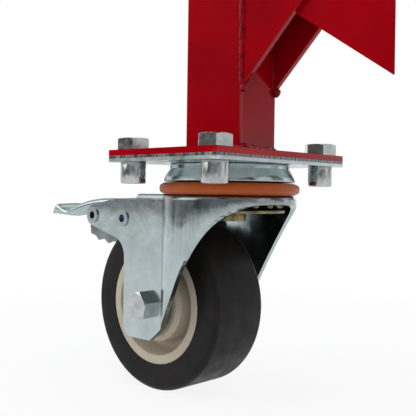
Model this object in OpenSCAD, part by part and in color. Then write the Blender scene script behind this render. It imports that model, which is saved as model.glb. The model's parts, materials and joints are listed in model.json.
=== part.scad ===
// Foot of a portable gantry crane: the lower leg with its knee brace, on a swivel castor with a brake.
// The swivel axis is the Z axis. Heights inside the modules are measured from the joint face, where the foot
// plate lies on the castor's top plate; at_foot() then hangs the whole foot below its post's top end.

/* [Foot plate and its bolts] */
// Short side of the foot plate and of the castor's top plate
plate_x = 100; // [100:1:130]
// Long side of both plates
plate_y = 140; // [138:1:180]
// Corner radius of both plates
plate_r = 4; // [1:0.5:8]
// Thickness of the painted foot plate
foot_plate_t = 4; // [3:0.5:8]
// Thickness of the castor's top plate
top_plate_t = 4; // [3:0.5:6]
// Bolt spacing across the short side
bolt_gap_x = 75; // [74:0.5:78]
// Bolt spacing along the long side
bolt_gap_y = 113; // [110:0.5:114]
// Thread diameter of the foot bolts
bolt_d = 12; // [8:0.5:13]
// Radial clearance of a bolt in its hole
bolt_play = 0.5; // [0.2:0.1:1]
// Foot bolt head, across flats
head_af = 20.5; // [18:0.5:22]
// Foot bolt head height
head_h = 8.2; // [6:0.2:12]
// Outside diameter of the round sleeve nuts
sleeve_d = 17.2; // [16.6:0.2:20]
// Length of the round sleeve nuts
sleeve_len = 14.4; // [10:0.2:18]

/* [Post and knee brace] */
// Post width, across the knee brace's plane
post_x = 51; // [45:1:60]
// Post depth
post_y = 38; // [34:1:50]
// Post wall
post_wall = 3; // [2:0.5:5]
// Outside corner radius of the post
post_r = 2; // [1:0.5:6]
// Post length above the foot plate
post_len = 236; // [200:1:400]
// Cross hole for the height pin, diameter
pin_d = 13; // [8:0.5:16]
// Distance of the height pin's hole below the post's top end
pin_drop = 30; // [25:1:60]
// Thickness of the two cheek plates
cheek_t = 4; // [3:0.5:6]
// Height of the cheeks' lowest corner above the foot plate
cheek_low = 42; // [30:1:60]
// Angle of the cheeks' lower edge above the horizontal
cheek_angle = 46; // [35:1:50]
// How far the cheeks reach out from the post
cheek_reach = 75; // [60:1:95]
// Height of the cheeks' top edge above the foot plate
cheek_top = 164; // [150:1:190]
// Height of the brace tube, square to its length
brace_h = 35; // [30:1:40]
// Wall of the brace tube
brace_wall = 2.5; // [2:0.5:4]
// Fall of the brace below the horizontal
brace_angle = 34; // [25:1:38]
// How far the brace reaches out from the post to the near corner of its plumb-cut end
brace_reach = 109; // [96:1:140]
// Height of the brace's lower corner, at that end, above the foot plate
brace_low = 38.5; // [30:0.5:50]
// Angle of the brace's end cut, seen from above
brace_mitre = 43; // [0:1:45]

/* [Swivel head] */
// Diameter of the bearing cup at its top
cup_top_d = 84; // [80:1:88]
// Diameter of the bearing cup at its rim
cup_rim_d = 93; // [90:1:96]
// Sheet thickness of the bearing cup and the yoke
sheet_t = 4; // [3:0.5:4.5]
// Drop from the joint face to the bearing cup's rim
cup_drop = 16.4; // [15:0.2:20]
// Diameter of the dust ring
ring_d = 98; // [96:1:102]
// Height of the dust ring
ring_h = 8.1; // [7:0.1:10]
// Diameter of the yoke's crown
crown_d = 94; // [92:1:98]
// Kingpin diameter
kingpin_d = 16; // [12:1:18]
// Running clearance of the kingpin in the crown, radial
kingpin_play = 0.1; // [0.05:0.01:0.1]
// Ball diameter of both ball races
ball_d = 6; // [5:0.5:7]
// Balls in each race
ball_count = 18; // [8:1:20]

/* [Yoke and wheel] */
// Wheel diameter over the tread
wheel_d = 125; // [120:1:127]
// Tread width
wheel_w = 50; // [44:1:52]
// Shoulder radius of the tread
shoulder_r = 8.5; // [4:0.5:11]
// Rim diameter, where the tread is moulded on
rim_d = 87; // [80:1:96]
// Trail: how far the axle lies behind the swivel axis
trail = 50; // [48:1:54]
// Drop from the joint face to the axle
axle_drop = 105; // [103:1:112]
// Outside width of the yoke over its two legs
yoke_w = 68; // [66:1:72]
// Axle bolt thread diameter
axle_d = 12; // [10:0.5:13]
// Axle bolt head and nut, across flats
axle_af = 19; // [17:0.5:20]
// Axle bolt head height
axle_head_h = 8; // [6:0.5:12]
// Outside diameter of the axle sleeve
sleeve_axle_d = 16; // [15:0.5:18]
// Running clearance of the bearings on the axle sleeve, radial
bearing_play = 0.05; // [0.01:0.01:0.1]

/* [Brake] */
// Width of the brake pedal
pedal_w = 40; // [36:1:46]
// Sheet thickness of the pedal and the jaw
brake_t = 2.5; // [2:0.5:3]
// Width of the toothed jaw
shoe_w = 28; // [22:1:29]
// Diameter of the tubular rivets
pivot_d = 9; // [7:0.5:10]
// Running clearance of the pedal on its pivot, radial
pivot_play = 0.05; // [0.03:0.01:0.1]

/* [Hidden] */
$fn = 96;
cut = 1;                    // how far a cutting tool runs past a face
touch = 0.05;               // gap between a thread and its nut

// Colours
red = [0.62, 0.01, 0.05];
zinc = [0.72, 0.75, 0.77];
steel = [0.60, 0.61, 0.62];
orange = [0.80, 0.26, 0.07];
beige = [0.72, 0.65, 0.56];
black = [0.07, 0.065, 0.065];
grey = [0.35, 0.36, 0.36];

// Heights from the joint face
post_top = foot_plate_t + post_len;
ring_gap = 0.6;             // gap between the turning dust ring and the cup's rim
crown_top = -(cup_drop + ring_h + ring_gap);
crown_low = crown_top - sheet_t;
axle_z = -axle_drop;
wheel_r = wheel_d / 2;
rim_r = rim_d / 2;
crown_r = crown_d / 2;
ring_r = ring_d / 2;
leg_y = yoke_w / 2;
leg_in = leg_y - sheet_t;

// Ball races, above and below the crown
lower_race_r = 35;
upper_race_r = 32;
race_block_r = upper_race_r + ball_d / 2 + 2;
race_play = 0.1;            // gap between the balls and the race that they roll on
race_edge = 4;              // how far the race washer reaches past its balls' circle
upper_ball_z = crown_top + ball_d / 2;
lower_ball_z = crown_low - ball_d / 2;
washer_t = 2;
washer_top = lower_ball_z - ball_d / 2 - race_play;
kingpin_nut_h = 6;

// Yoke leg, seen from the side
leg_back = -trail - 22.5;
leg_foot = axle_z - 24.5;
throat_x = -trail + 41;      // where the skirt's lower edge becomes the leg's front edge
throat_z = axle_z + 15;
bend = [-trail + 30, axle_z - 7];
toe = [-trail + 6, leg_foot];
skirt_low = crown_top - 6.2;
heel_r = 9;
// Brake pivot, stop rivets and the yoke's ears
pedal_px = -109.6;
pedal_pz = crown_top - 17.1;
stop_px = -74.3;
stop_pz = crown_top - 18.5;
ear_r = 8;
ear_top = crown_low - 0.8;
ear_low = crown_top - 32;
ear_crest = -88;            // where the ears' straight top edge begins
deck_back = -60;            // rear edge of the yoke's top deck
ear_fillet = 15;
ear_slope = 10;             // how far the ear's edges lean from the level
pivot_r = pivot_d / 2;
flare = 1.2;                // height of a rivet's flared end
flare_r = pivot_r + 1.5;
rivet_wall = 1.6;
rivet_bore = 6;             // depth of the hollow in a rivet's end

// Wheel core and the dust caps beside it
cap_r = 21;
cap_t = 3.6;
cap_gap = 0.4;
hub_half = leg_in - cap_t - cap_gap;
hub_collar_r = 27;
hub_r = 15;
bearing_w = 9;
rim_half = wheel_w / 2 - 1;
web_half = 8;
core_r = sleeve_axle_d / 2 + 3;
edge = 3;                   // bevel of the hub's collar
rim_lip = 6.5;              // width of the rim ring seen from the side
rim_slope = 2.5;            // how far the dish runs in behind the rim ring

// Fasteners
turn = 15;                  // how far the bolt heads stand turned
sleeve_bevel = 0.8;
shank_short = 1.5;          // how far a foot bolt ends inside its sleeve nut
hole_play = 0.2;            // radial clearance of the axle bolt in the legs and the washer
nut_wall = 4;
axle_washer_r = axle_d + 0.5;
axle_washer_t = 1.8;
axle_nut_h = 9;
axle_end = 12;              // how far the axle bolt runs past the rear leg

function arc(c, r, from, to, n) = [for (i = [0:n]) let (a = from + (to - from) * i / n)
    [c[0] + r * cos(a), c[1] + r * sin(a)]];

// The points of a curve that leaves a towards b and arrives at c from b, without a itself
function curve(a, b, c, n) = [for (i = [1:n]) let (t = i / n)
    pow(1 - t, 2) * a + 2 * t * (1 - t) * b + pow(t, 2) * c];

module at_foot() translate([0, 0, -post_top]) children();

module round_rect(x, y, r) {
    square([x - 2 * r, y], center = true);
    square([x, y - 2 * r], center = true);
    for (i = [-1, 1], j = [-1, 1]) translate([i * (x / 2 - r), j * (y / 2 - r)]) circle(r);
}

// A flat shape in the X-Z plane, given its thickness between y0 and y1
module upright(y0, y1) translate([0, y1, 0]) rotate([90, 0, 0]) linear_extrude(y1 - y0) children();

// A round bar along Y at (x, z)
module rod(x, z, r, y0, y1, sides = $fn) translate([x, y1, z]) rotate([90, 0, 0])
    cylinder(r = r, h = y1 - y0, $fn = sides);

module at_bolts() for (i = [-1, 1], j = [-1, 1])
    translate([i * bolt_gap_x / 2, j * bolt_gap_y / 2, 0]) children();

// A hexagon head standing on z = 0, with its top corners turned off
module hex_head(af, h) {
    corner = af / cos(30) / 2;
    turned = (corner - af / 2) * 0.6;
    intersection() {
        cylinder(r = corner, h = h, $fn = 6);
        union() {
            cylinder(r = corner + cut, h = h - turned);
            translate([0, 0, h - turned]) cylinder(r1 = corner, r2 = corner - turned * 1.8, h = turned);
        }
    }
}

module plate(t) difference() {
    linear_extrude(t) round_rect(plate_x, plate_y, plate_r);
    at_bolts() translate([0, 0, -cut]) cylinder(d = bolt_d + 2 * bolt_play, h = t + 2 * cut);
}

module foot_plate() color(red) plate(foot_plate_t);

module post() color(red) translate([0, 0, foot_plate_t]) difference() {
    linear_extrude(post_len) round_rect(post_x, post_y, post_r);
    translate([0, 0, -cut]) linear_extrude(post_len + 2 * cut)
        round_rect(post_x - 2 * post_wall, post_y - 2 * post_wall, max(post_r - post_wall, 0.5));
    translate([-post_x, 0, post_len - pin_drop]) rotate([0, 90, 0]) cylinder(d = pin_d, h = 2 * post_x);
}

// The cheeks are flush with the post's front and rear faces
module cheek_shape() {
    x0 = post_x / 2;
    x1 = x0 + cheek_reach;
    z0 = foot_plate_t + cheek_low;
    z1 = foot_plate_t + cheek_top;
    polygon([[x0, z0], [x1, z0 + cheek_reach * tan(cheek_angle)], [x1, z1], [x0, z1]]);
}

module front_cheek() color(red) upright(-post_y / 2, -post_y / 2 + cheek_t) cheek_shape();
module rear_cheek() color(red) upright(post_y / 2 - cheek_t, post_y / 2) cheek_shape();

// The brace's side, shrunk by its wall for the hollow; it runs from the post's face to a plumb cut
module brace_side(wall, run) {
    rise = brace_reach * tan(brace_angle);
    plumb = brace_h / cos(brace_angle);
    w = wall / cos(brace_angle);
    x0 = post_x / 2;
    z0 = foot_plate_t + brace_low;
    slope = tan(brace_angle);
    x1 = x0 + brace_reach + run;
    fall = run * slope;
    polygon([[x0 - run, z0 + rise + fall + w], [x1, z0 - fall + w],
        [x1, z0 - fall + plumb - w], [x0 - run, z0 + rise + fall + plumb - w]]);
}

module brace() color(red) {
    half = post_y / 2 - cheek_t;
    difference() {
        upright(-half, half) brace_side(0, 0);
        upright(-half + brace_wall, half - brace_wall) brace_side(brace_wall, cut);
        translate([post_x / 2 + brace_reach, -half, 0]) rotate(brace_mitre)
            translate([0, -post_y, -post_len]) cube([brace_reach, 3 * post_y, 3 * post_len]);
    }
}

module foot_bolts() color(steel) at_bolts() {
    translate([0, 0, foot_plate_t]) rotate(turn) hex_head(head_af, head_h);
    shank_low = -top_plate_t - sleeve_len + shank_short;
    translate([0, 0, shank_low]) cylinder(d = bolt_d, h = foot_plate_t - shank_low);
}

module sleeve_nuts() color(steel) at_bolts() translate([0, 0, -top_plate_t - sleeve_len]) difference() {
    union() {
        cylinder(d1 = sleeve_d - 2 * sleeve_bevel, d2 = sleeve_d, h = sleeve_bevel);
        translate([0, 0, sleeve_bevel]) cylinder(d = sleeve_d, h = sleeve_len - sleeve_bevel);
    }
    translate([0, 0, -cut]) cylinder(d = bolt_d + 2 * touch, h = sleeve_len + 2 * cut);
}

module top_plate() color(zinc) translate([0, 0, -top_plate_t]) difference() {
    plate(top_plate_t);
    translate([0, 0, -cut]) cylinder(d = kingpin_d, h = top_plate_t + 2 * cut);
}

// A turned cup whose middle block carries the upper balls' race
module bearing_cup() color(zinc) {
    r0 = cup_top_d / 2;
    r1 = cup_rim_d / 2;
    neck = top_plate_t + 3.4;
    step = 1;
    floor_z = upper_ball_z + ball_d / 2 + race_play;
    rotate_extrude() polygon([[kingpin_d / 2, -top_plate_t], [r0, -top_plate_t], [r0, -neck],
        [r0 - step, -neck - step / 2], [r1, -cup_drop], [race_block_r, -cup_drop], [race_block_r, floor_z],
        [kingpin_d / 2, floor_z]]);
}

module kingpin() color(steel) {
    low = washer_top - washer_t - kingpin_nut_h;
    translate([0, 0, low]) cylinder(d = kingpin_d, h = -low);
}

module race_washer() color(zinc) translate([0, 0, washer_top - washer_t]) difference() {
    cylinder(r = lower_race_r + race_edge, h = washer_t);
    translate([0, 0, -cut]) cylinder(d = kingpin_d, h = washer_t + 2 * cut);
}

module kingpin_nut() color(steel) translate([0, 0, washer_top - washer_t - kingpin_nut_h]) difference() {
    cylinder(r = kingpin_d / 2 + nut_wall, h = kingpin_nut_h);
    translate([0, 0, -cut]) cylinder(d = kingpin_d, h = kingpin_nut_h + 2 * cut);
}

module balls(r, z) for (i = [0:ball_count - 1]) rotate(i * 360 / ball_count)
    translate([r, 0, z]) sphere(d = ball_d, $fn = 24);

module upper_balls() color(steel) balls(upper_race_r, upper_ball_z);
module lower_balls() color(steel) balls(lower_race_r, lower_ball_z);

// Outline of the yoke from above: a round crown, with straight legs to the rear
module yoke_plan(r, half, back) {
    circle(r);
    translate([back, -half]) square([-back, 2 * half]);
}

module yoke_side() {
    back = pedal_px - ear_r;
    front = crown_r + cut;
    drop = skirt_low - throat_z;
    corner_x = leg_back - ear_fillet;
    polygon(concat(
        [[front, crown_top], [front, skirt_low]],
        [for (i = [0:16]) let (s = 1 - i / 16)
            [throat_x + (crown_r - throat_x) * s, skirt_low - drop * pow(1 - s, 2)]],
        curve([throat_x, throat_z], bend, toe, 12),
        arc([leg_back + heel_r, leg_foot + heel_r], heel_r, 270, 180, 6),
        arc([corner_x, ear_low - ear_fillet], ear_fillet, 0, 90 - ear_slope, 8),
        arc([pedal_px, pedal_pz], ear_r, 270 - ear_slope, 90 + ear_slope, 10),
        [[ear_crest, ear_top], [deck_back, crown_top], [0, crown_top]]
    ));
}

// The yoke's top sheet, whose outer edges are rolled over by the sheet's thickness
module yoke_deck() {
    rotate_extrude() polygon(concat([[0, crown_top], [0, crown_low]],
        arc([crown_r - sheet_t, crown_low], sheet_t, 0, 90, 6)));
    translate([deck_back, 0, 0]) rotate([90, 0, 90]) linear_extrude(-deck_back) polygon(concat(
        arc([leg_in, crown_low], sheet_t, 0, 90, 6), arc([-leg_in, crown_low], sheet_t, 90, 180, 6)));
}

module yoke() color(zinc) difference() {
    union() {
        yoke_deck();
        intersection() {
            translate([0, 0, leg_foot - cut]) linear_extrude(crown_low - leg_foot + cut) difference() {
                yoke_plan(crown_r, leg_y, pedal_px - ear_r - cut);
                yoke_plan(crown_r - sheet_t, leg_in, pedal_px - ear_r - 2 * cut);
            }
            upright(-crown_r - cut, crown_r + cut) yoke_side();
        }
    }
    cylinder(d = kingpin_d + 2 * kingpin_play, h = 4 * leg_y, center = true);
    rod(-trail, axle_z, axle_d / 2 + hole_play, -leg_y - cut, leg_y + cut);
    rod(pedal_px, pedal_pz, pivot_r, -leg_y - cut, leg_y + cut);
    rod(stop_px, stop_pz, pivot_r, -leg_y - cut, leg_y + cut);
}

// The orange ring sits on the crown and hides the gap below the cup's rim
module dust_ring() color(orange) rotate_extrude() {
    mid = crown_top + ring_h / 2;
    bulge = ring_h / 2;
    inner = race_block_r + 2;
    translate([ring_r - bulge, mid]) circle(bulge);
    translate([inner, mid - bulge]) square([ring_r - bulge - inner, ring_h]);
}

module axle_bolt() color(steel) {
    translate([-trail, -leg_y, axle_z]) rotate([90, 0, 0]) rotate(turn) hex_head(axle_af, axle_head_h);
    rod(-trail, axle_z, axle_d / 2, -leg_y, leg_y + axle_end);
}

module axle_washer() color(steel) difference() {
    rod(-trail, axle_z, axle_washer_r, leg_y, leg_y + axle_washer_t);
    rod(-trail, axle_z, axle_d / 2 + hole_play, leg_y - cut, leg_y + axle_washer_t + cut);
}

module axle_nut() color(steel) difference() {
    translate([-trail, leg_y + axle_washer_t, axle_z]) rotate([-90, 0, 0]) hex_head(axle_af, axle_nut_h);
    rod(-trail, axle_z, axle_d / 2 + touch, leg_y, leg_y + axle_end + cut);
}

module axle_sleeve() color(steel) difference() {
    rod(-trail, axle_z, sleeve_axle_d / 2, -leg_in, leg_in);
    rod(-trail, axle_z, axle_d / 2 + touch, -leg_y, leg_y);
}

// A round cap between the leg and the hub, clear of the turning hub
module dust_cap(s) difference() {
    y0 = s > 0 ? hub_half + cap_gap : -leg_in;
    y1 = s > 0 ? leg_in : -hub_half - cap_gap;
    rod(-trail, axle_z, cap_r, y0, y1);
    rod(-trail, axle_z, sleeve_axle_d / 2, y0 - cut, y1 + cut);
}

module front_dust_cap() color(grey) dust_cap(-1);
module rear_dust_cap() color(grey) dust_cap(1);

// A tubular rivet from y0 to y1 with flared ends, hollow from both
module rivet(x, z, y0, y1) difference() {
    union() {
        rod(x, z, pivot_r, y0, y1);
        rod(x, z, flare_r, y0, y0 + flare);
        rod(x, z, flare_r, y1 - flare, y1);
    }
    rod(x, z, pivot_r - rivet_wall, y0 - cut, min(y0 + rivet_bore, (y0 + y1) / 2 - flare));
    rod(x, z, pivot_r - rivet_wall, max(y1 - rivet_bore, (y0 + y1) / 2 + flare), y1 + cut);
}

module pedal_pivot() color(steel) rivet(pedal_px, pedal_pz, -leg_y - flare, leg_y + flare);

// Two short rivets, one in each leg, that end clear of the tread
module stop_rivets() color(steel) for (s = [-1, 1])
    rivet(stop_px, stop_pz, (s > 0 ? leg_in : -leg_y) - flare, (s > 0 ? leg_y : -leg_in) + flare);

// The core: a rim, a web and a hub with a seat for a bearing at each end
module wheel_core() color(beige) translate([-trail, 0, axle_z]) rotate([90, 0, 0]) rotate_extrude() {
    seat = hub_half - bearing_w;
    half = [[core_r, 0], [core_r, seat], [hub_r, seat], [hub_r, hub_half], [hub_collar_r - edge, hub_half],
        [hub_collar_r, hub_half - edge], [hub_collar_r + 2, web_half],
        [rim_r - rim_lip - rim_slope, web_half], [rim_r - rim_lip, rim_half], [rim_r, rim_half]];
    polygon(concat(half, [for (i = [len(half) - 1:-1:0]) [half[i][0], -half[i][1]]]));
}

module tyre() color(black) translate([-trail, 0, axle_z]) rotate([90, 0, 0]) rotate_extrude() {
    x = wheel_r - shoulder_r;
    y = wheel_w / 2 - shoulder_r;
    difference() {
        union() {
            translate([rim_r, -y]) square([wheel_r - rim_r, 2 * y]);
            translate([rim_r, -wheel_w / 2]) square([x - rim_r, wheel_w]);
            for (s = [-1, 1]) translate([x, s * y]) circle(shoulder_r);
        }
        translate([0, -wheel_w]) square([rim_r, 2 * wheel_w]);
    }
}

module bearing(y0) difference() {
    rod(-trail, axle_z, hub_r, y0, y0 + bearing_w);
    rod(-trail, axle_z, sleeve_axle_d / 2 + bearing_play, y0 - cut, y0 + bearing_w + cut);
}

module front_bearing() color(steel) bearing(-hub_half);
module rear_bearing() color(steel) bearing(hub_half - bearing_w);

// The pedal's upper edge from its curled toe to its heel, as [x, z] from the pedal pivot
pedal_top = [[-73.4, 1], [-68.4, 8], [-62.4, 5], [-57.4, 3.5], [-50.4, 5.5], [-37.4, 9], [-25.4, 11.7],
    [-10.4, 13.4], [10.6, 13.8]];
// Its flanges' lower edge, from the heel round the pivot's lug to the toe
pedal_low = [[10.6, 1], [4.6, -7], [-4.4, -7], [-18.4, 0], [-29.4, 0], [-39.4, -2], [-58.4, -1.4],
    [-71.4, -0.5]];
// The jaw's edge from its pivot, out under the pedal and back along its teeth, from the pedal pivot
jaw_edge = [[6, 4], [-5, 5], [-12, -5], [-29.4, -7], [-28, -16], [-22, -17.5], [-18, -21], [-11, -19.5],
    [-6, -23], [0, -20.5], [7, -22.5], [8.5, -14]];
// The ribbed pad between the jaw's two sides
pad_edge = [[-24, -9], [4, -10], [6, -21.5], [0, -19.5], [-6, -22], [-11, -18.5], [-18, -20]];

module brake_pedal() color(zinc) {
    half = pedal_w / 2;
    last = len(pedal_top) - 1;
    difference() {
        translate([pedal_px, 0, pedal_pz]) {
            for (y0 = [-half, half - brake_t]) upright(y0, y0 + brake_t) polygon(concat(pedal_top, pedal_low));
            upright(-half, half) polygon(concat(pedal_top,
                [for (i = [last:-1:0]) pedal_top[i] + [i == 0 ? brake_t : 0, -brake_t]]));
        }
        rod(pedal_px, pedal_pz, pivot_r + pivot_play, -leg_y, leg_y);
    }
}

// The jaw hangs on a tube welded between the pedal's flanges, so that it turns with the pedal
module brake_shoe() color(zinc) {
    half = shoe_w / 2;
    tube = pedal_w / 2 - brake_t;
    difference() {
        union() {
            translate([pedal_px, 0, pedal_pz]) for (y0 = [-half, half - brake_t])
                upright(y0, y0 + brake_t) polygon(jaw_edge);
            rod(pedal_px, pedal_pz, pivot_r + brake_t, -tube, tube);
        }
        rod(pedal_px, pedal_pz, pivot_r + pivot_play, -leg_y, leg_y);
    }
}

module shoe_pad() color(zinc) translate([pedal_px, 0, pedal_pz])
    upright(-shoe_w / 2 + brake_t, shoe_w / 2 - brake_t) polygon(pad_edge);

at_foot() foot_plate();
at_foot() post();
at_foot() front_cheek();
at_foot() rear_cheek();
at_foot() brace();
at_foot() foot_bolts();
at_foot() sleeve_nuts();
at_foot() top_plate();
at_foot() bearing_cup();
at_foot() kingpin();
at_foot() kingpin_nut();
at_foot() race_washer();
at_foot() yoke();
at_foot() dust_ring();
at_foot() upper_balls();
at_foot() lower_balls();
at_foot() axle_bolt();
at_foot() axle_washer();
at_foot() axle_nut();
at_foot() axle_sleeve();
at_foot() front_dust_cap();
at_foot() rear_dust_cap();
at_foot() pedal_pivot();
at_foot() stop_rivets();
at_foot() wheel_core();
at_foot() tyre();
at_foot() front_bearing();
at_foot() rear_bearing();
at_foot() brake_pedal();
at_foot() brake_shoe();
at_foot() shoe_pad();
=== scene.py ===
# %% [markdown]
# # The foot of a portable gantry crane
#
# A portable gantry crane stands on four feet. Each foot is the lower end of an upright, stiffened by a knee
# brace, on a swivel castor with a pedal brake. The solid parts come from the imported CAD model, in metres, with
# the post's open top end at the origin and the ground at its lowest point. This lesson dresses that frame: it
# gives each solid its finish, and makes by formula the pieces whose looks depend on soft, rolled shapes. Each of
# those could be sculpted or modelled by hand too. A formula is chosen because it follows the CAD when a size
# changes, and because it says what the shape is.

# %% Load the frame
import json
from math import cos, pi, radians, sin

import bpy
import numpy as np
from mathutils import Matrix, Vector


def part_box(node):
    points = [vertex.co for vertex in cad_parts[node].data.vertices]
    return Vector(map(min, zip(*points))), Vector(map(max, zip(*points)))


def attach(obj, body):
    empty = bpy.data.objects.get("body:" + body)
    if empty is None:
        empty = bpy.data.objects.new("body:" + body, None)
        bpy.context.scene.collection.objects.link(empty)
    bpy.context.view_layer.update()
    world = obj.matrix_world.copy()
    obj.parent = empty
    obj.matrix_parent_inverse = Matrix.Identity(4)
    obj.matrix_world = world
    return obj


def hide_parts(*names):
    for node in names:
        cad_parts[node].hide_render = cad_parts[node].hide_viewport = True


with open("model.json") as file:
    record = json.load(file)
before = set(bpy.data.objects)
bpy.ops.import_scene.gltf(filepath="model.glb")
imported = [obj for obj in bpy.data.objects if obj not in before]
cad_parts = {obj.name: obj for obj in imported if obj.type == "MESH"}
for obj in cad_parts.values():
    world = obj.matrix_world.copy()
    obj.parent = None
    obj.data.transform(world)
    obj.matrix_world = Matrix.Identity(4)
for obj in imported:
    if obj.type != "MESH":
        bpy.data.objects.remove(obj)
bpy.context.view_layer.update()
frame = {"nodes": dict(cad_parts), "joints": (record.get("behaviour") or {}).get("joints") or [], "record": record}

# %% [markdown]
# ## Driving dimensions
#
# The CAD nodes say where everything is. What the new pieces share is worked out once here: the wheel's centre,
# the plates' levels and the post's faces. They could be typed in, but then a change in the CAD model would leave
# the new pieces behind.

# %% Driving dimensions
MM = 0.001


def box(node_name):
    """The low and the high corner of one CAD solid."""
    return [np.array(corner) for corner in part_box(node_name)]


post_high = box("post")[1]
tyre_low, tyre_high = box("tyre")
core_low, core_high = box("wheel_core")
cup_low, cup_high = box("bearing_cup")
ring_low, ring_high = box("dust_ring")
cheek_low, cheek_high = box("front_cheek")
brace_low, brace_high = box("brace")
rivet_low, rivet_high = box("stop_rivets")

WHEEL = (tyre_low + tyre_high) / 2
WHEEL_R = (tyre_high[2] - tyre_low[2]) / 2
TREAD_HALF = (tyre_high[1] - tyre_low[1]) / 2
RIM_R = (core_high[2] - core_low[2]) / 2
HUB_HALF = (core_high[1] - core_low[1]) / 2
GROUND = float(tyre_low[2])
FOOT_PLATE_TOP = box("foot_plate")[1][2]
TOP_PLATE_LOW = float(box("top_plate")[0][2])
PEDAL_PIVOT = next(j for j in frame["joints"] if j["name"] == "pedal_press")["pos_m"]
RIVET_AXES = [(PEDAL_PIVOT[0], PEDAL_PIVOT[2]),
              tuple(float(c) for c in ((rivet_low + rivet_high) / 2)[[0, 2]])]
print("wheel centre", WHEEL.round(4), "radius", round(WHEEL_R, 4), "ground", round(GROUND, 4))

# %% [markdown]
# ## A surface from two parameters
#
# Every new piece is a grid: one parameter runs round a section and the other along it. numpy computes all the
# points at once. A grid that closes both ways needs no caps, and one that closes only round its section gets
# one face at each end, so that every piece is a closed skin. bmesh tools could extrude the same skins step by
# step, but whole arrays are shorter and leave no doubled points.

# %% A mesh from a grid
def grid_mesh(name, points, closed_u, material, body, flip=False):
    """A mesh from points[u, v, 3], closed round v. Each face joins (u, v), (u, v + 1), (u + 1, v + 1) and
    (u + 1, v). Where u isn't closed, the first and last rows are closed by one face each."""
    nu, nv, _ = points.shape
    u = np.arange(nu if closed_u else nu - 1)
    uu, vv = np.meshgrid(u, np.arange(nv), indexing="ij")
    u1, v1 = (uu + 1) % nu, (vv + 1) % nv
    quads = np.stack([uu * nv + vv, uu * nv + v1, u1 * nv + v1, u1 * nv + vv], axis=-1).reshape(-1, 4)
    faces = quads.tolist()
    if not closed_u:
        faces.append(list(range(nv))[::-1])
        faces.append([(nu - 1) * nv + k for k in range(nv)])
    if flip:
        faces = [f[::-1] for f in faces]
    mesh = bpy.data.meshes.new(name)
    mesh.from_pydata(points.reshape(-1, 3).tolist(), [], faces)
    mesh.polygons.foreach_set("use_smooth", np.full(len(faces), True))
    mesh.materials.append(material)
    mesh.validate()
    piece = bpy.data.objects.new(name, mesh)
    bpy.context.scene.collection.objects.link(piece)
    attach(piece, body)
    return piece


print("grid_mesh ready")

# %% [markdown]
# ## Turned pieces
#
# A turned piece is a profile carried round an axis. The Screw modifier could do it from a drawn curve. Here the
# profile is a list of corners, because each corner can then have its own rounding, as a mould or a spinning tool
# would leave it.

# %% Rounded profiles and turning
def rounded(corners, radii, steps):
    """A closed profile whose corners are replaced by arcs: each arc touches both sides at the distance
    radius / tan(half the corner's angle) from the corner."""
    corners = [np.array(c, float) for c in corners]
    out = []
    for i, corner in enumerate(corners):
        before, after = corners[i - 1] - corner, corners[(i + 1) % len(corners)] - corner
        la, lb = np.linalg.norm(before), np.linalg.norm(after)
        a, b = before / la, after / lb
        half = np.arccos(np.clip(a @ b, -1, 1)) / 2
        reach = min(radii[i] / np.tan(half), 0.49 * la, 0.49 * lb)
        if reach < 1e-7:
            out.append(corner[None])
            continue
        radius = reach * np.tan(half)
        centre = corner + (a + b) / np.linalg.norm(a + b) * radius / np.sin(half)
        start, end = corner + a * reach - centre, corner + b * reach - centre
        sweep = np.arctan2(start[0] * end[1] - start[1] * end[0], start @ end)
        t = np.linspace(0, sweep, steps + 1)
        arc = [start[0] * np.cos(t) - start[1] * np.sin(t), start[0] * np.sin(t) + start[1] * np.cos(t)]
        out.append(centre + np.stack(arc, axis=-1))
    return np.concatenate(out)


def revolve(name, profile, centre, axis, slot, body, turns):
    """profile[:, 0] is the distance from the axis and profile[:, 1] the place along it. Each point at angle t
    is centre + along * axis + radius * (cos t * first side + sin t * second side)."""
    axis = np.array(axis, float)
    first = np.array([1.0, 0, 0])
    second = np.cross(axis, first)
    t = np.linspace(0, 2 * pi, turns, endpoint=False)
    spokes = np.cos(t)[:, None] * first + np.sin(t)[:, None] * second
    points = centre + profile[None, :, :1] * spokes[:, None, :] + profile[None, :, 1:] * axis
    area = np.sum(profile[:, 0] * np.roll(profile[:, 1], -1) - np.roll(profile[:, 0], -1) * profile[:, 1])
    return grid_mesh(name, points, True, FINISH[slot], body, flip=area < 0)


print("rounded and revolve ready")

# %% [markdown]
# ## A helper for node trees
#
# Each finish is procedural and sits in the object's own coordinates, in metres. The nodes could be placed by
# hand in the shader editor. The helper is shorter, because the same few come again and again: noise, a colour
# ramp, a mapped range, a bump and a little arithmetic.

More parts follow.
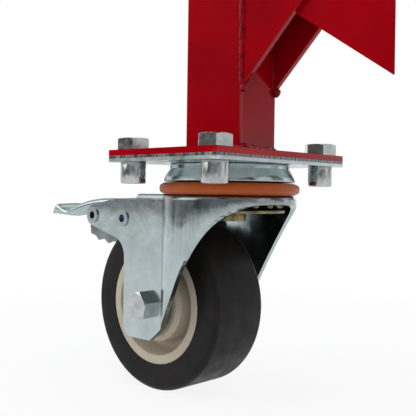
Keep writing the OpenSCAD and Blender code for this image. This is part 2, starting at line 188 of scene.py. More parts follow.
# %% Node helper
class Nodes:
    """Adds nodes and links to one node tree. A value fed to a socket is a number, a vector or another socket."""

    def __init__(self, tree, coordinates):
        self.tree = tree
        self.coords = self.add("ShaderNodeTexCoord").outputs[coordinates]

    def add(self, kind, **values):
        node = self.tree.nodes.new(kind)
        for key, value in values.items():
            setattr(node, key, value)
        return node

    def link(self, source, target):
        self.tree.links.new(source, target)

    def feed(self, values, sockets):
        for value, socket in zip(values, sockets):
            if isinstance(value, bpy.types.NodeSocket):
                self.link(value, socket)
            else:
                socket.default_value = value

    def maths(self, operation, *values):
        node = self.add("ShaderNodeMath", operation=operation)
        self.feed(values, node.inputs)
        return node.outputs[0]

    def vector(self, operation, *values):
        node = self.add("ShaderNodeVectorMath", operation=operation)
        self.feed(values, node.inputs)
        return node.outputs["Value" if operation in ("LENGTH", "DOT_PRODUCT") else "Vector"]

    def axes(self, source):
        node = self.add("ShaderNodeSeparateXYZ")
        self.link(source, node.inputs["Vector"])
        return node.outputs

    def noise(self, scale, detail=3.0, rough=0.5, coords=None):
        node = self.add("ShaderNodeTexNoise")
        node.inputs["Scale"].default_value = scale
        node.inputs["Detail"].default_value = detail
        node.inputs["Roughness"].default_value = rough
        self.link(self.coords if coords is None else coords, node.inputs["Vector"])
        return node.outputs["Fac"]

    def ramp(self, source, stops):
        node = self.add("ShaderNodeValToRGB")
        elements = node.color_ramp.elements
        while len(elements) < len(stops):
            elements.new(0.5)
        for element, (place, colour) in zip(elements, stops):
            element.position = place
            element.color = (*colour, 1)
        self.link(source, node.inputs["Fac"])
        return node.outputs["Color"]

    def span(self, source, low, high, start=0.3, end=0.7):
        """Maps start..end to low..high, and holds the ends."""
        node = self.add("ShaderNodeMapRange")
        for socket, value in (("From Min", start), ("From Max", end), ("To Min", low), ("To Max", high)):
            node.inputs[socket].default_value = value
        self.link(source, node.inputs["Value"])
        return node.outputs["Result"]

    def blend(self, share, first, second):
        """The colour first where share is 0 and second where it is 1."""
        node = self.add("ShaderNodeMix", data_type="RGBA")
        self.feed((share, first, second), (node.inputs["Factor"], node.inputs[6], node.inputs[7]))
        return node.outputs[2]

    def seen_rays(self):
        """1 for rays that come from the camera, a mirror or glass, and 0 for rays that only carry light."""
        path = self.add("ShaderNodeLightPath")
        seen = self.maths("MAXIMUM", path.outputs["Is Camera Ray"], path.outputs["Is Glossy Ray"])
        return self.maths("MAXIMUM", seen, path.outputs["Is Transmission Ray"])

    def mix_shaders(self, share, first, second, output):
        mix = self.add("ShaderNodeMixShader")
        self.feed((share, first, second), (mix.inputs["Fac"], mix.inputs[1], mix.inputs[2]))
        self.link(mix.outputs["Shader"], self.tree.nodes[output].inputs["Surface"])


class Shader(Nodes):
    """The node tree of one new material, with its Principled node and the object's own coordinates."""

    def __init__(self, name):
        self.material = bpy.data.materials.new(name)
        self.material.use_nodes = True
        super().__init__(self.material.node_tree, "Object")
        self.base = self.tree.nodes["Principled BSDF"]

    def set(self, **values):
        """A number or vector for each input of the Principled node, or a socket to link to it."""
        for key, value in values.items():
            self.feed([value], [self.base.inputs[key.replace("_", " ")]])

    def bump(self, source, strength, distance, after=None):
        node = self.add("ShaderNodeBump")
        node.inputs["Strength"].default_value = strength
        node.inputs["Distance"].default_value = distance
        self.link(source, node.inputs["Height"])
        if after is not None:
            self.link(after, node.inputs["Normal"])
        self.link(node.outputs["Normal"], self.base.inputs["Normal"])
        return node.outputs["Normal"]

    def normal(self):
        """The three parts of the surface's normal."""
        return self.axes(self.add("ShaderNodeNewGeometry").outputs["Normal"])


print("node helper ready")

# %% [markdown]
# ## Red paint
#
# The welded frame is powder painted: a thick, even red with a faint orange peel. A glossy Principled shader with
# one colour would look like plastic. So the tint drifts slowly. The coat's weight follows the surface's direction:
# faces towards +X, the brace's side, get a glossy coat and the others almost none. That is a painted sheen, the
# greyer reflection those faces show. Where the paint covers a weld it is thin on the crests and browned by the
# scale below.

# %% Paint
def gloss_paint(name, colour, dark):
    """Tint from slow noise, a painted sheen from a coat as heavy as the surface faces +X, and two sizes of orange
    peel.
    """
    s = Shader(name)
    # Painted sheen: the coat is heavy on faces towards +X and almost absent elsewhere.
    s.set(Specular_IOR_Level=0.01, Coat_Roughness=0.12,
          Coat_Weight=s.span(s.normal()["X"], 0.005, 0.85, 0.15, 0.9),
          Base_Color=s.ramp(s.noise(14, 4), [(0.3, dark), (0.7, colour)]),
          Roughness=s.span(s.noise(45, 5), 0.26, 0.42))
    peel = s.bump(s.noise(420, 2), 0.10, 0.4 * MM)
    s.bump(s.noise(60, 2), 0.12, 1.5 * MM, after=peel)
    return s.material


def weld_paint(name):
    """Paint over a weld: a ramp from brown through dull red to red, on noise of a few millimetres."""
    scale, thin, full = (0.10, 0.004, 0.006), (0.22, 0.001, 0.006), (0.38, 0.001, 0.009)
    s = Shader(name)
    s.set(Specular_IOR_Level=0.10, Coat_Weight=0.10, Coat_Roughness=0.10,
          Base_Color=s.ramp(s.noise(210, 4, 0.6), [(0.34, scale), (0.48, thin), (0.60, full)]),
          Roughness=s.span(s.noise(500, 3), 0.15, 0.45))
    s.bump(s.noise(420, 3, 0.5), 0.3, 0.6 * MM)
    return s.material


RED_PAINT = gloss_paint("red gloss paint", (0.44, 0.0004, 0.006), (0.29, 0.0002, 0.004))
WELD = weld_paint("painted weld")
print("paints", RED_PAINT.name, WELD.name)

# %% [markdown]
# ## Zinc plating
#
# The castor and the fasteners are zinc plated. Bright zinc is a metal with a mottled sheen: its tint and its
# roughness change in patches, a centimetre wide on sheet and finer on bolts. A plain metal shader is too even
# for that, and an image texture would stretch over the bends, so two noises do it.

# %% Plated metal
def plated(name, light, dark, rough, patch):
    """Tint from noise at the scale patch, roughness from a finer one, and fine pits over a slow ripple."""
    s = Shader(name)
    s.set(Metallic=1.0, Base_Color=s.ramp(s.noise(patch, 6, 0.62), [(0.32, dark), (0.68, light)]),
          Roughness=s.span(s.noise(patch * 1.7, 5, 0.6), *rough))
    pits = s.bump(s.noise(900, 3), 0.05, 0.15 * MM)
    s.bump(s.noise(70, 3), 0.16, 1.2 * MM, after=pits)
    return s.material


JAW_ZINC = plated("dull zinc jaw", (0.34, 0.37, 0.38), (0.17, 0.19, 0.20), (0.22, 0.36), 60)
print("plated metal", JAW_ZINC.name)

# %% [markdown]
# ## The top plate's sheared edge
#
# The castor's top plate was cut in a press. The blade leaves fine upright scores and a darker band of torn metal
# along the upper half of each edge. The scores could be cut into the mesh, but they are a tenth of a millimetre
# deep, so they are a noise squeezed along Z. The band is where the height is above the middle and the surface
# stands upright.

# %% Sheared plate
def sheared_plate(name, light, dark):
    """The face's mottle, mixed with the torn band by (height above the middle) * (how upright the face is)."""
    squeeze, score_scale, band_start, band_blur = 0.04, 620, 1.9 * MM, 0.5 * MM
    s = Shader(name)
    face = s.ramp(s.noise(75, 6, 0.62), [(0.32, dark), (0.68, light)])
    mapping = s.add("ShaderNodeMapping")
    mapping.inputs["Scale"].default_value = (1, 1, squeeze)
    s.link(s.coords, mapping.inputs["Vector"])
    scores = s.noise(score_scale, 2.0, coords=mapping.outputs["Vector"])
    torn = s.ramp(scores, [(0.35, (0.05, 0.05, 0.055)), (0.65, (0.34, 0.35, 0.36))])
    middle = TOP_PLATE_LOW + band_start
    band = s.span(s.axes(s.coords)["Z"], 0.0, 1.0, middle, middle + band_blur)
    upright = s.span(s.maths("ABSOLUTE", s.normal()["Z"]), 1.0, 0.0, 0.2, 0.5)
    s.set(Metallic=1.0, Base_Color=s.blend(s.maths("MULTIPLY", band, upright), face, torn),
          Roughness=s.span(s.noise(110, 5, 0.6), 0.18, 0.36))
    s.bump(scores, 0.15, 0.2 * MM)
    return s.material


SHEARED_ZINC = sheared_plate("sheared zinc plate", (0.60, 0.66, 0.67), (0.42, 0.47, 0.47))
print("sheared plate", SHEARED_ZINC.name)

# %% [markdown]
# ## The pressed yoke
#
# The yoke is zinc sheet drawn over a die. In a band below the shoulder its colour is darker and streaked: painted
# shade of the shoulder's bend. The band's lower edge wanders. It could be painted on as vertex colour, but a
# height that a slow noise lifts and lowers gives the same edge from two numbers.

# %% Pressed yoke
def pressed_yoke(name, light, dark, band):
    """The sheet's mottle, mixed with the painted shade's streaked tint by (height + wander * noise) across the
    blur below the shoulder."""
    wander, band_top, band_bottom = 22 * MM, 9 * MM, 17 * MM
    shoulder = float(ring_low[2]) + 11 * MM
    s = Shader(name)
    mottle = s.ramp(s.noise(45, 6, 0.62), [(0.32, dark), (0.68, light)])
    # Painted shade: a darker, streaked tint, mixed in over a band below the shoulder.
    shade_streaks = s.ramp(s.noise(120, 4), [(0.35, band), (0.65, tuple(1.35 * c for c in band))])
    height = s.maths("MULTIPLY_ADD", s.noise(28, 3, 0.55), wander, s.axes(s.coords)["Z"])
    shoulder_shade = s.span(height, 0.0, 0.85, shoulder - band_bottom, shoulder - band_top)
    s.set(Metallic=1.0, Base_Color=s.blend(shoulder_shade, mottle, shade_streaks),
          Roughness=s.span(s.noise(76, 5, 0.6), 0.12, 0.25))
    pits = s.bump(s.noise(900, 3), 0.05, 0.15 * MM)
    s.bump(s.noise(55, 3), 0.22, 1.6 * MM, after=pits)
    return s.material


YOKE_ZINC = pressed_yoke("pressed zinc yoke", (0.48, 0.56, 0.57), (0.37, 0.43, 0.435), (0.20, 0.225, 0.235))
print("pressed yoke", YOKE_ZINC.name)

# %% [markdown]
# ## Flared rivets
#
# The brake turns on tubular rivets. Their flared rims are grey zinc, and their hollows keep the blue of the
# passivation. Each hollow could have its own material on its own faces, but the CAD solid has one slot, so the
# tint follows the distance from the nearest rivet's axis.

# %% Flared rivets
def flared_rivet(name):
    """Blue inside the bore and grey zinc outside: a ramp over the smaller of the distances, in the XZ plane,
    to the two axes."""
    bore, rim, blue, grey = 2.7 * MM, 3.1 * MM, (0.05, 0.15, 0.30), (0.42, 0.45, 0.46)
    s = Shader(name)
    pivot, stop = (s.vector("LENGTH", s.vector("MULTIPLY_ADD", s.coords, (1, 0, 1), (-x, 0, -z)))
                   for x, z in RIVET_AXES)
    outside = s.span(s.maths("MINIMUM", pivot, stop), 0.0, 1.0, bore, rim)
    s.set(Metallic=1.0, Roughness=0.25, Base_Color=s.ramp(outside, [(0.0, blue), (1.0, grey)]))
    s.bump(s.noise(700, 3), 0.2, 0.2 * MM)
    return s.material


RIVET_ZINC = {node: flared_rivet(f"{node} zinc") for node in ("pedal_pivot", "stop_rivets")}
print("rivets", len(RIVET_ZINC))

# %% [markdown]
# ## Moulded parts
#
# The tread, the wheel's core, the dust ring and the caps are moulded. Such a surface copies its mould: a slow
# change of tint, and a fine grain that is coarser on the tread. Carving the grain would need millions of faces,
# so it is a bump.

# %% Moulded plastic and tread
def moulded(name, light, dark, rough, grain, depth, shine=0.5):
    """Tint from slow noise, roughness from a finer one, and a bump at the scale grain."""
    s = Shader(name)
    s.set(Specular_IOR_Level=shine, Base_Color=s.ramp(s.noise(32, 4), [(0.3, dark), (0.7, light)]),
          Roughness=s.span(s.noise(90, 4), *rough))
    s.bump(s.noise(grain, 3), depth, 0.3 * MM)
    return s.material


FINISH = {
    "red_paint": RED_PAINT,
    "zinc_sheet": plated("bright zinc sheet", (0.47, 0.545, 0.555), (0.36, 0.42, 0.425), (0.12, 0.25), 45),
    "fastener_steel": plated("zinc fasteners", (0.56, 0.58, 0.585), (0.38, 0.395, 0.40), (0.12, 0.27), 130),
    "bearing_steel": plated("greasy bearing steel", (0.30, 0.25, 0.15), (0.12, 0.095, 0.05), (0.22, 0.45), 160),
    "orange_plastic": moulded("orange dust ring", (0.46, 0.088, 0.010), (0.36, 0.062, 0.008), (0.34, 0.5),
                              grain=700, depth=0.06, shine=0.3),
    "beige_core": moulded("beige nylon core", (0.62, 0.54, 0.43), (0.52, 0.45, 0.35), (0.42, 0.58),
                          grain=500, depth=0.08),
    "black_tread": moulded("black tread", (0.012, 0.0095, 0.009), (0.006, 0.0048, 0.0046), (0.42, 0.60),
                           grain=800, depth=0.14, shine=0.22),
    "grey_plastic": moulded("grey dust cap", (0.16, 0.16, 0.155), (0.11, 0.11, 0.105), (0.40, 0.55),
                            grain=600, depth=0.08),
}
print("finishes", sorted(FINISH))

# %% [markdown]
# ## Dressing the CAD solids
#
# The record names a material slot for each solid, and each slot has one finish. A few solids then get a finish
# of their own: the sheared top plate, the drawn yoke, the duller jaw and the rivets.

# %% Dress the solids
def dress(node_name, finish):
    """Gives every material slot of one CAD solid the same finish."""
    node = frame["nodes"][node_name]
    if not node.material_slots:
        node.data.materials.append(finish)
    for place in node.material_slots:
        place.material = finish


for row in frame["record"]["subparts"]:
    dress(row["node"], FINISH[row["material_slot"]])
for node_name, finish in {"top_plate": SHEARED_ZINC, "yoke": YOKE_ZINC, "brake_shoe": JAW_ZINC,
                          "shoe_pad": JAW_ZINC, **RIVET_ZINC}.items():
    dress(node_name, finish)
print("dressed", len(frame["nodes"]), "solids")

# %% [markdown]
# ## Rolled edges
#
# Sheet that has been sheared and plated has edges that catch the light as a thin bright line. The Bevel node can
# fake that line, but a narrow Bevel modifier on each of the solids listed below makes it real from all sides. The
# solids come in as separate triangles, so a Weld modifier joins their corners first.

# %% Bevel the solids
EDGE_WIDTH_MM = {
    "foot_plate": 0.7, "top_plate": 0.8, "post": 0.35, "front_cheek": 0.6, "rear_cheek": 0.6, "brace": 0.8,
    "foot_bolts": 0.35, "sleeve_nuts": 0.4, "yoke": 0.8, "axle_bolt": 0.4, "axle_nut": 0.4, "axle_washer": 0.3,
    "brake_pedal": 0.5, "brake_shoe": 0.4, "shoe_pad": 0.4, "race_washer": 0.3, "kingpin_nut": 0.5,
    "pedal_pivot": 0.2, "stop_rivets": 0.2, "front_dust_cap": 0.5, "rear_dust_cap": 0.5,
}


def soften(node_name, width, weld_gap=0.002 * MM, segments=3, sharpest=28):
    """Joins corners within weld_gap, and bevels the edges that turn by more than sharpest degrees."""
    node = frame["nodes"][node_name]
    weld = node.modifiers.new("joined", "WELD")
    weld.merge_threshold = weld_gap
    bevel = node.modifiers.new("edge", "BEVEL")
    bevel.width = width
    bevel.segments = segments
    bevel.limit_method = "ANGLE"
    bevel.angle_limit = radians(sharpest)
    bevel.harden_normals = True
    bevel.use_clamp_overlap = True


for node_name, width_mm in EDGE_WIDTH_MM.items():
    soften(node_name, width_mm * MM)
print("softened", len(EDGE_WIDTH_MM), "solids")

# %% [markdown]
# ## The wheel
#
# The tread is cast round the core, so its shoulders are soft. The core is a plain dish: a rim ring outside, a
# recess, and a collar round the hub. Both are turned profiles. A cylinder with bevelled edges would give every
# corner the same rounding, while a mould leaves a wide one at the tread's shoulder and narrow ones at the rim.

# %% Tread and core
def wheel_tread():
    """Two flanks that lean in slightly towards the rim, joined by the running surface with wide shoulders."""
    flank, lean = 9 * MM, 0.6 * MM
    rim_round, flank_round, shoulder = 0.5 * MM, 4 * MM, 8.5 * MM
    r, half = WHEEL_R, TREAD_HALF
    profile = rounded(
        [(RIM_R, -half + lean), (r - flank, -half), (r, -half), (r, half), (r - flank, half),
         (RIM_R, half - lean)],
        [rim_round, flank_round, shoulder, shoulder, flank_round, rim_round], steps=10)
    piece = revolve("cast_tread", profile, WHEEL, (0, -1, 0), "black_tread", "wheel", turns=192)
    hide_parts("tyre")


def wheel_dish():
    """One side is the hub's face, its collar, the web and the rim's lip. The other side is its mirror image."""
    bore, hub, lip = 15 * MM, 24 * MM, 6.5 * MM
    web, chamfer, slope, draft = 8 * MM, 3 * MM, 5 * MM, 2.5 * MM
    rim_half = TREAD_HALF - 1 * MM
    side = [(bore, HUB_HALF), (hub, HUB_HALF), (hub + chamfer, HUB_HALF - chamfer), (hub + slope, web),
            (RIM_R - lip - draft, web), (RIM_R - lip, rim_half), (RIM_R, rim_half)]
    radii = [0.3, 0.8, 1.0, 3.0, 3.0, 0.9, 0.5]
    mirrored = [(x, -y) for x, y in side[::-1]]
    profile = rounded(side + mirrored, [r * MM for r in radii + radii[::-1]], steps=5)
    piece = revolve("core_dish", profile, WHEEL, (0, -1, 0), "beige_core", "wheel", turns=160)
    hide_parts("wheel_core")


wheel_tread()
wheel_dish()
print("wheel dressed")

# %% [markdown]
# ## The swivel head
#
# The cup is spun from thick sheet, so its shoulder and rim are round. The dust ring below it is a soft moulding
# that bulges between the cup and the crown. Both could be tori and cylinders joined together, but one turned
# profile each has no seams.

# %% Cup and dust ring
SWIVEL_AXIS = np.zeros(3)


def spun_cup():
    """From the kingpin's hole out to the neck, down it, out along the flare to the rim, and back inside."""
    hole, neck_r, inside_r = 8.2 * MM, 42 * MM, 37 * MM
    neck, rim_gap, rim_tall, rim_step = 3.4 * MM, 0.6 * MM, 3.2 * MM, 1 * MM
    top, low = cup_high[2], cup_low[2]
    rim_r = (cup_high[0] - cup_low[0]) / 2
    rim_z = ring_high[2] + rim_gap
    radii = [0.2, 1.6, 1.2, 2.5, 0.9, 0.5, 0.3, 0.2]
    profile = rounded(
        [(hole, top), (neck_r, top), (neck_r, top - neck), (rim_r - rim_step, rim_z + rim_tall), (rim_r, rim_z),
         (inside_r, rim_z), (inside_r, low), (hole, low)], [r * MM for r in radii], steps=6)
    piece = revolve("spun_cup", profile, SWIVEL_AXIS, (0, 0, 1), "zinc_sheet", "leg", turns=144)
    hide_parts("bearing_cup")


def bulged_ring():
    """A band whose outside bulges: the full radius between 22 and 78 percent of its height, less above and
    below."""
    inside_r, step, bulge, band = 39 * MM, 0.3 * MM, 3.4 * MM, 0.22
    low, high = ring_low[2], ring_high[2]
    tall = high - low
    r = (ring_high[0] - ring_low[0]) / 2
    radii = [0.3, 2.4, 2.8, 2.8, 2.4, 0.3]
    profile = rounded(
        [(inside_r, low + step), (r - bulge, low), (r, low + band * tall), (r, high - band * tall),
         (r - bulge, high), (inside_r, high - step)], [r_mm * MM for r_mm in radii], steps=8)
    piece = revolve("bulged_ring", profile, SWIVEL_AXIS, (0, 0, 1), "orange_plastic", "yoke", turns=160)
    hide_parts("dust_ring")


spun_cup()
bulged_ring()
print("swivel head dressed")

# %% [markdown]
# ## The brake pedal
#
# The pedal is one pressing: a wavy tongue whose long edges are folded down, with a curled toe for the boot. It
# could be a plane with Solidify, but the flanges' depth changes along the way. So its skin is a section carried
# along the wave. At each place the section is a channel whose top lies at the wave's height and whose flanges
# hang down by the depth there.

# %% Pressed pedal
def smooth_through(xs, ys, x):
    """A curve through the points: between two of them it blends with the slope at each, a cubic in each gap."""
    xs, ys = np.array(xs, float), np.array(ys, float)
    slope = np.gradient(ys, xs)
    i = np.clip(np.searchsorted(xs, x) - 1, 0, len(xs) - 2)
    h = xs[i + 1] - xs[i]
    t = (x - xs[i]) / h
    return ((2 * t**3 - 3 * t**2 + 1) * ys[i] + (t**3 - 2 * t**2 + t) * h * slope[i]
            + (-2 * t**3 + 3 * t**2) * ys[i + 1] + (t**3 - t**2) * h * slope[i + 1])


# The pedal's design, in millimetres from its pivot: the place along it, the top's height and the flange's edge.
PEDAL_WAVE = [(-73.2, 3.2, -0.6), (-71.5, 6.6, -0.9), (-67, 7.4, -0.8), (-61, 4.6, -1.2), (-55, 3.4, -1.4),
              (-47, 6.0, -1.9), (-37, 9.0, -1.9), (-25, 11.6, -0.2), (-10, 13.3, 0.4), (4, 13.6, -6.0),
              (10.4, 13.6, 1.0)]


def pressed_pedal():
    """points[place, v]: v runs across the top, folded down at both edges by a quarter circle, and back along the
    underside, one sheet lower. Round the pivot the flange's edge drops in a half ellipse, the lug. The top is
    crowned by crown * (1 - (y / half)^2)."""
    half, sheet, fold, crown = 20 * MM, 2.4 * MM, 3.2 * MM, 0.7 * MM
    flange, lug_half, lug_drop = 3.4 * MM, 6.4, 6.9 * MM
    toe_end, tongue_start = -66, -65
    reach, crest, edge = np.array(PEDAL_WAVE).T
    x = np.concatenate([np.linspace(reach[0], toe_end, 12), np.linspace(tongue_start, reach[-1], 80)])
    top = smooth_through(reach, crest, x) * MM
    low = np.minimum(np.interp(x, reach, edge) * MM, top - flange)
    lug = np.clip(1 - (x / lug_half) ** 2, 0, 1) ** 0.5
    low = np.where(np.abs(x) < lug_half, -lug_drop * lug + low * (1 - lug), low)

    a = np.linspace(0, pi / 2, 7)
    bend_y, bend_z = -half + fold * (1 - np.cos(a)), -fold * (1 - np.sin(a))
    out_y = np.concatenate([[-half], bend_y, [0], -bend_y[::-1], [half]])
    out_z = np.concatenate([[0], bend_z, [0], bend_z[::-1], [0]])
    in_y = out_y[::-1] * (half - sheet) / half
    at_edge = np.abs(np.arange(len(out_y)) - (len(out_y) - 1) / 2) == (len(out_y) - 1) / 2
    relief = out_z - crown * (out_y / half) ** 2
    top, low = top[:, None], low[:, None]
    outer = np.maximum(np.where(at_edge, low, top + relief), low)
    inner = np.maximum(np.where(at_edge, low, top - sheet + relief), low)[:, ::-1]
    z = np.concatenate([outer, inner], axis=1)
    y = np.broadcast_to(np.concatenate([out_y, in_y]), z.shape)
    points = np.stack([np.broadcast_to(x[:, None] * MM, z.shape), y, z], axis=-1) + np.array(PEDAL_PIVOT)
    piece = grid_mesh("pressed_pedal", points, False, FINISH["zinc_sheet"], "pedal")
    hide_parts("brake_pedal")


pressed_pedal()
print("pedal pressed")

# %% [markdown]
# ## A weld bead
#
# The post stands in a fillet weld on its plate, each cheek is welded down the post's corner, and the brace is
# welded between the cheeks. A curve with a round bevel would make a smooth worm. A bead is a tube too, half sunk
# in the corner that it fills, but its radius follows the welder's hand.

# %% Weld bead
def along(path, step):
    """Points every step along a path of corners, with the length at each."""
    path = np.array(path, float)
    lengths = np.concatenate([[0], np.cumsum(np.linalg.norm(np.diff(path, axis=0), axis=1))])
    s = np.linspace(0, lengths[-1], max(int(lengths[-1] / step), 4))
    return np.stack([np.interp(s, lengths, path[:, k]) for k in range(3)], axis=-1), s


def bead(name, path, radius, seed):
    """A tube along the path. At length s its radius is radius * (1 + small ripple(s) + slow noise(s) +
    lumps(s)), and the ends taper to a quarter."""
    ripple, ripple_half, lump_every, taper = 0.04, 1.7 * MM, 3 * MM, 2.2 * radius
    middle, s = along(path, 0.9 * MM)
    rng = np.random.default_rng(seed)
    slow = np.interp(s, np.linspace(0, s[-1], 12), rng.normal(0, 0.10, 12))
    lumps = max(int(s[-1] / lump_every), 4)
    lumpy = np.interp(s, np.linspace(0, s[-1], lumps), rng.normal(0, 0.09, lumps))
    r = radius * (1 + ripple * np.sin(pi * s / ripple_half) + slow + lumpy)
    fade = np.clip(np.minimum(s, s[-1] - s) / taper, 0, 1)
    r = r * (0.25 + 0.75 * np.sqrt(fade * (2 - fade)))
    tangent = np.gradient(middle, axis=0)
    tangent /= np.linalg.norm(tangent, axis=1)[:, None] + 1e-12
    slanted = np.array([0.31, 0.47, 0.83])
    side = np.cross(tangent, slanted)
    side /= np.linalg.norm(side, axis=1)[:, None]
    other = np.cross(tangent, side)
    a = np.linspace(0, 2 * pi, 14, endpoint=False)
    ring = np.cos(a)[None, :, None] * side[:, None] + np.sin(a)[None, :, None] * other[:, None]
    return grid_mesh(name, middle[:, None] + ring * r[:, None, None], False, WELD, "leg")


print("bead ready")

# %% [markdown]
# ## Where the welds run
#
# One bead goes round the post's foot. Each cheek has a seam outside, one inside, and a lump where the welder
# started at its toe. The brace has one bead along each lower edge, as far out as the cheeks reach. Their paths
# come from the solids' boxes, so that they stay in their corners.

# %% Welds
def post_foot_weld():
    """Round the post's foot: a quarter circle at each corner, joined by straight runs."""
    corner, gap, lift = 4 * MM, 0.2 * MM, 1.1 * MM
    x, y = post_high[:2] - corner
    centres = np.array([(x, y), (-x, y), (-x, -y), (x, -y)])
    a = np.radians(np.array([[0], [90], [180], [270]]) + np.linspace(0, 90, 7))
    flat = centres[:, None] + (corner + gap) * np.stack([np.cos(a), np.sin(a)], axis=-1)
    path = np.column_stack([flat.reshape(-1, 2), np.full(a.size, FOOT_PLATE_TOP + lift)])
    bead("post_foot_weld", np.concatenate([path, path[:1]]), 3.1 * MM, seed=3)


def cheek_welds():
    """Upright seams where each cheek's outer and inner face meet the post, and a short lump across its toe."""
    x = post_high[0] + 0.1 * MM
    thick = cheek_high[1] - cheek_low[1]
    z0, z1 = cheek_low[2], cheek_high[2]
    for side, name in ((-1, "front"), (1, "rear")):
        y = side * (post_high[1] - 0.3 * MM)
        inside = y - side * thick
        toe = [(x + 0.5 * MM, y - side * 0.5 * MM, z0 - 3 * MM),
               (x + 1.2 * MM, y - side * 1.8 * MM, z0 + 4 * MM)]
        bead(f"{name}_cheek_seam", [(x, y, z0 + 1 * MM), (x, y, z1 - 1 * MM)], 2.2 * MM, seed=11 + side)
        bead(f"{name}_cheek_toe_weld", toe, 3.4 * MM, seed=21 + side)
        inner_seam = [(x, inside, z0 + 2 * MM), (x, inside, z1 - 2 * MM)]
        bead(f"{name}_inner_seam", inner_seam, 1.7 * MM, seed=31 + side)


def brace_welds():
    """The brace is welded along its two lower edges, from the post out to where the cheeks end."""
    fall, reach = np.tan(radians(34)), 36 * MM
    run = brace_high[0] - brace_low[0]
    x, z = brace_low[0], brace_low[2]
    for side, name in ((-1, "front"), (1, "rear")):
        y = side * (brace_high[1] - 0.4 * MM)
        path = [(x + 1 * MM, y, z + run * fall), (x + reach, y, z + (run - reach) * fall)]
        bead(f"brace_weld_{name}", path, 1.6 * MM, seed=41 + side)


post_foot_weld()
cheek_welds()
brace_welds()
print("welds made")

# %% [markdown]
# ## The ground
#
# The part stands on a plain pale floor. To the camera and to mirrors it is nearly white and keeps a soft shadow,
# and far off it melts into the white background. A bright lamp could whiten a grey floor, but it would bleach
# the part too, so the floor mixes in a plain white glow that only such rays see.

# %% Ground
def ground():
    """Pale paint, mixed with the glow by (seen rays) * (a share that grows with the distance from the part)."""
    half, near, far, near_share = 8.0, 0.42, 0.75, 0.88
    corners = [(-half, -half, GROUND), (half, -half, GROUND), (half, half, GROUND), (-half, half, GROUND)]
    mesh = bpy.data.meshes.new("ground")
    mesh.from_pydata(corners, [], [(0, 1, 2, 3)])
    floor = bpy.data.objects.new("ground", mesh)
    bpy.context.scene.collection.objects.link(floor)
    s = Shader("pale ground")
    s.set(Base_Color=(0.86, 0.86, 0.86, 1), Roughness=0.9)
    glow = s.add("ShaderNodeEmission")
    glow.inputs["Color"].default_value = (1, 1, 1, 1)
    glow.inputs["Strength"].default_value = 1.0
    fade = s.span(s.vector("LENGTH", s.coords), near_share, 1.0, near, far)
    share = s.maths("MULTIPLY", s.seen_rays(), fade)
    s.mix_shaders(share, s.base.outputs["BSDF"], glow.outputs["Emission"], "Material Output")
    mesh.materials.append(s.material)


ground()
print("ground at", round(GROUND, 4))

# %% [markdown]
# ## The camera
#
# The camera stands close, at the castor's height, and looks almost level across the foot's corner. It is rolled
# by under a degree. Its direction could be typed as Euler angles, but the view's direction is needed again for
# the sky, so both come from an azimuth and a pitch.

# %% Camera
AZIMUTH, PITCH, ROLL = radians(42.856), radians(-0.173), radians(0.824)
EYE = (0.3260, -0.3733, -0.2650)
VIEW = Vector((-sin(AZIMUTH) * cos(PITCH), cos(AZIMUTH) * cos(PITCH), sin(PITCH)))
RIGHT = Vector((cos(AZIMUTH), sin(AZIMUTH), 0))


def camera():
    """The columns of the turn are the view's right and up, rolled, and the direction back to the eye."""
    up = RIGHT.cross(VIEW)
    across = RIGHT * cos(ROLL) + up * sin(ROLL)
    upward = up * cos(ROLL) - RIGHT * sin(ROLL)
    turn = Matrix((across, upward, -VIEW)).transposed().to_4x4()
    data = bpy.data.cameras.new("camera")
    data.lens = 60.99
    data.sensor_width = 36
    data.shift_y = -0.0276
    data.clip_start = 0.01
    eye = bpy.data.objects.new("camera", data)
    eye.matrix_world = Matrix.Translation(EYE) @ turn
    bpy.context.scene.collection.objects.link(eye)
    bpy.context.scene.camera = eye


camera()
print("camera at", EYE)

# %% [markdown]
# ## The sky
#
# Bare metal shows what stands round it, so an even sky would make zinc look like grey paint. To the camera the
# sky is white. Mirrors see a room that is dimmer on the left and behind the camera, and patchy, as a real one is.
# Rays that only carry light see an even, slightly blue sky. An environment texture could do it, but a noise and
# two directions need no file.

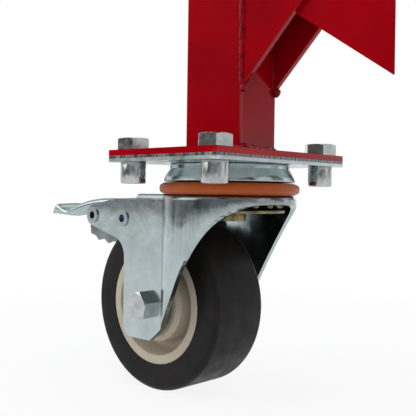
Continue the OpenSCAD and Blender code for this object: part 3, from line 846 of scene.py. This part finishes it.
# %% Sky
def sky():
    """For mirrors the strength is (from 0.3 behind to 1 ahead) * (from 0.62 left to 1.15 right) * patches."""
    world = bpy.data.worlds.new("studio")
    bpy.context.scene.world = world
    world.use_nodes = True
    s = Nodes(world.node_tree, "Generated")
    even = world.node_tree.nodes["Background"]
    even.inputs["Color"].default_value = (0.93, 0.96, 1.0, 1)
    even.inputs["Strength"].default_value = 0.55
    ahead = s.span(s.vector("DOT_PRODUCT", s.coords, VIEW), 0.30, 1.0, -0.30, 0.70)
    side = s.span(s.vector("DOT_PRODUCT", s.coords, RIGHT), 0.62, 1.15, -0.9, 0.9)
    patches = s.span(s.noise(2.6, 2.0), 0.12, 1.45, 0.36, 0.58)
    room = s.maths("MULTIPLY", ahead, s.maths("MULTIPLY", side, patches))
    seen = s.add("ShaderNodeBackground")
    seen.inputs["Color"].default_value = (1, 1, 1, 1)
    strength = s.add("ShaderNodeMix", data_type="FLOAT")
    by_camera = s.add("ShaderNodeLightPath").outputs["Is Camera Ray"]
    s.feed((by_camera, room, 1.0), (strength.inputs["Factor"], strength.inputs["A"], strength.inputs["B"]))
    s.link(strength.outputs["Result"], seen.inputs["Strength"])
    s.mix_shaders(s.seen_rays(), even.outputs["Background"], seen.outputs["Background"], "World Output")


sky()
print("sky ready")

# %% [markdown]
# ## The lamps
#
# A studio lights such a part with large soft boxes: a strong one from the left, a weak one from the right and
# one above. Point lamps would make hard shadows and small hot spots on the metal, so each lamp is a rectangle.

# %% Lamps
def lamp(name, place, aim, size, power):
    """A rectangular lamp at a place, turned so that its -Z looks at the aim."""
    data = bpy.data.lights.new(name, "AREA")
    data.shape = "RECTANGLE"
    data.size, data.size_y = size
    data.energy = power
    light = bpy.data.objects.new(name, data)
    light.location = place
    light.rotation_euler = (Vector(aim) - Vector(place)).to_track_quat("-Z", "Y").to_euler()
    bpy.context.scene.collection.objects.link(light)


lamp("left softbox", place=(-1.05, -1.05, 0.55), aim=(-0.02, 0, -0.25), size=(1.6, 1.2), power=9.5)
lamp("right softbox", place=(1.35, 0.35, 0.35), aim=(0, 0, -0.25), size=(0.9, 1.4), power=2.2)
lamp("top softbox", place=(0.1, -0.2, 1.5), aim=(0, 0, -0.2), size=(1.4, 1.4), power=8)
bpy.context.scene.view_settings.view_transform = "Standard"
print("studio ready")
